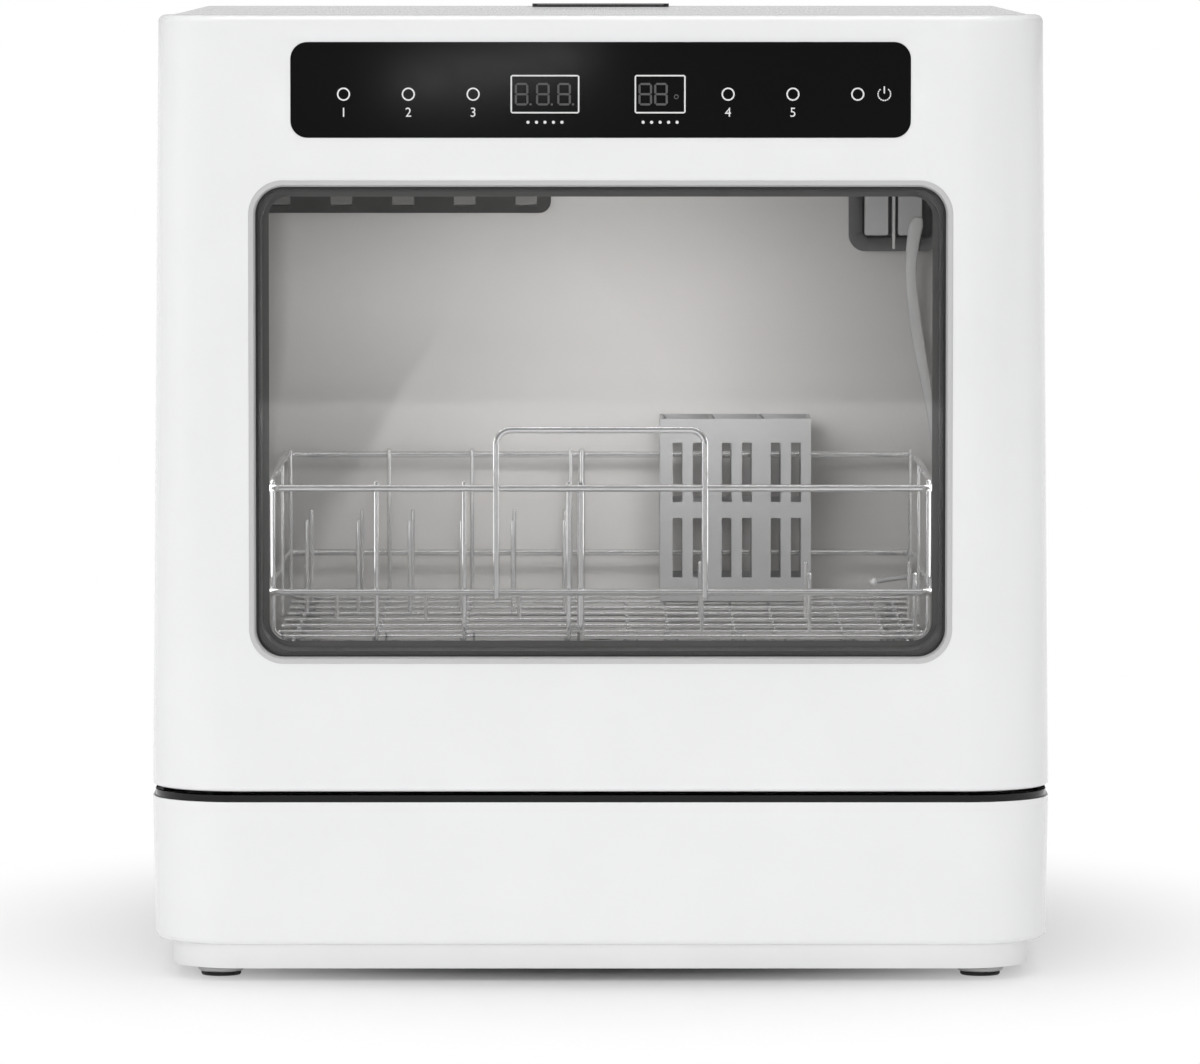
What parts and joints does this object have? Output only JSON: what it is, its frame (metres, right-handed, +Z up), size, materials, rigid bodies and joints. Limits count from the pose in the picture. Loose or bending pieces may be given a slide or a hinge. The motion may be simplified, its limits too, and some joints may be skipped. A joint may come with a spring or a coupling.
{
  "type": "countertop dishwasher",
  "caption": "Compact dishwasher with a drop-down window door, a slide-out wire basket, a turning spray arm and a flip lid over the tank's filling port.",
  "frame": {"origin": "on the floor, under the middle of the machine with its rear connections", "axes": "+Z up, the door faces -Y, +X to the right seen from the front"},
  "size_m": [0.4274, 0.4446, 0.4586],
  "materials": {
    "door_white": "high gloss moulded plastic",
    "casing_white": "gloss enamel",
    "base_white": "high gloss moulded plastic",
    "plinth_white": "satin",
    "panel_grey": "satin powder coat",
    "foot_grey": "satin",
    "pad_rubber": "matt",
    "seam_black": "high gloss",
    "frame_white": "satin",
    "seal_rubber": "matt",
    "tub_steel": "satin",
    "runner_plastic": "satin",
    "duct_dark": "satin",
    "pipe_pale": "satin",
    "sump_dark": "satin",
    "filter_steel": "satin",
    "arm_grey": "satin",
    "pump_dark": "satin",
    "heater_steel": "satin",
    "hose_rubber": "matt",
    "valve_white": "satin",
    "tank_plastic": "translucent moulded",
    "lid_black": "high gloss",
    "hardware_steel": "zinc plated",
    "board_green": "solder resist",
    "inlet_metal": "nickel plated",
    "spigot_grey": "satin",
    "gland_black": "matt",
    "catch_dark": "satin",
    "trim_silver": "satin anodised",
    "window_glass": "clear",
    "spacer_black": "satin",
    "fascia_black": "high gloss",
    "display_dark": "smoked",
    "wire_chrome": "bright plated wire",
    "glide_clear": "milky clear",
    "holder_grey": "satin"
  },
  "bodies": {
    "cabinet": {"housing": "casing_white", "rear_panel": "panel_grey", "base_shell": "base_white", "plinth": "plinth_white", "foot_pedestals": "foot_grey", "foot_pads": "pad_rubber", "seam_trim": "seam_black", "front_frame": "frame_white", "door_seal": "seal_rubber", "tub": "tub_steel", "slide_rails": "runner_plastic", "air_outlet": "duct_dark", "water_inlet_box": "duct_dark", "feed_pipe": "pipe_pale", "level_probe": "pipe_pale", "sump": "sump_dark", "filter_plate": "filter_steel", "filter_cup": "sump_dark", "spray_post": "sump_dark", "wash_pump": "pump_dark", "drain_pump": "pump_dark", "heater": "heater_steel", "wash_hose": "hose_rubber", "supply_hose": "hose_rubber", "drain_hose": "hose_rubber", "inlet_valve": "valve_white", "inlet_hose": "hose_rubber", "water_tank": "tank_plastic", "inlet_collar": "frame_white", "lid_pin": "hardware_steel", "vent_fan": "pump_dark", "power_board": "board_green", "inlet_connector": "inlet_metal", "drain_connector": "spigot_grey", "cord_gland": "gland_black", "rear_screws": "hardware_steel", "hinge_brackets": "hardware_steel", "hinge_pins": "hardware_steel", "door_catch": "catch_dark"},
    "door": {"hinge_arms": "hardware_steel", "door_hook": "hardware_steel", "door_shell": "door_white", "door_liner": "frame_white", "liner_screws": "hardware_steel", "window_trim": "trim_silver", "outer_glass": "window_glass", "glazing_spacer": "spacer_black", "inner_glass": "window_glass", "control_fascia": "fascia_black", "control_board": "board_green", "display_modules": "display_dark"},
    "basket": {"basket_rails": "wire_chrome", "basket_uprights": "wire_chrome", "basket_floor": "wire_chrome", "basket_handle": "wire_chrome", "basket_tines": "wire_chrome", "basket_glides": "glide_clear", "cutlery_holder": "holder_grey"},
    "lid": {"inlet_lid": "lid_black"},
    "spray_arm": {"lower_spray_arm": "arm_grey"}
  },
  "joints": [
    {"name": "door_hinge", "type": "hinge", "parent": "cabinet", "child": "door", "pos_m": [0, -0.2137, 0.1022], "axis": [1, 0, 0], "range_deg": [0, 85]},
    {"name": "basket_slide", "type": "slide", "parent": "cabinet", "child": "basket", "axis": [0, -1, 0], "range_m": [0, 0.1187]},
    {"name": "lid_hinge", "type": "hinge", "parent": "cabinet", "child": "lid", "pos_m": [0, 0.1879, 0.4562], "axis": [-1, 0, 0], "range_deg": [0, 100]},
    {"name": "spray_spin", "type": "hinge", "parent": "cabinet", "child": "spray_arm", "pos_m": [0, -0.0257, 0.14], "axis": [0, 0, 1], "continuous": true}
  ],
  "couplings": [
    {"joint": "basket_slide", "follows": "door_hinge", "m_per_rad": 0.08}
  ]
}
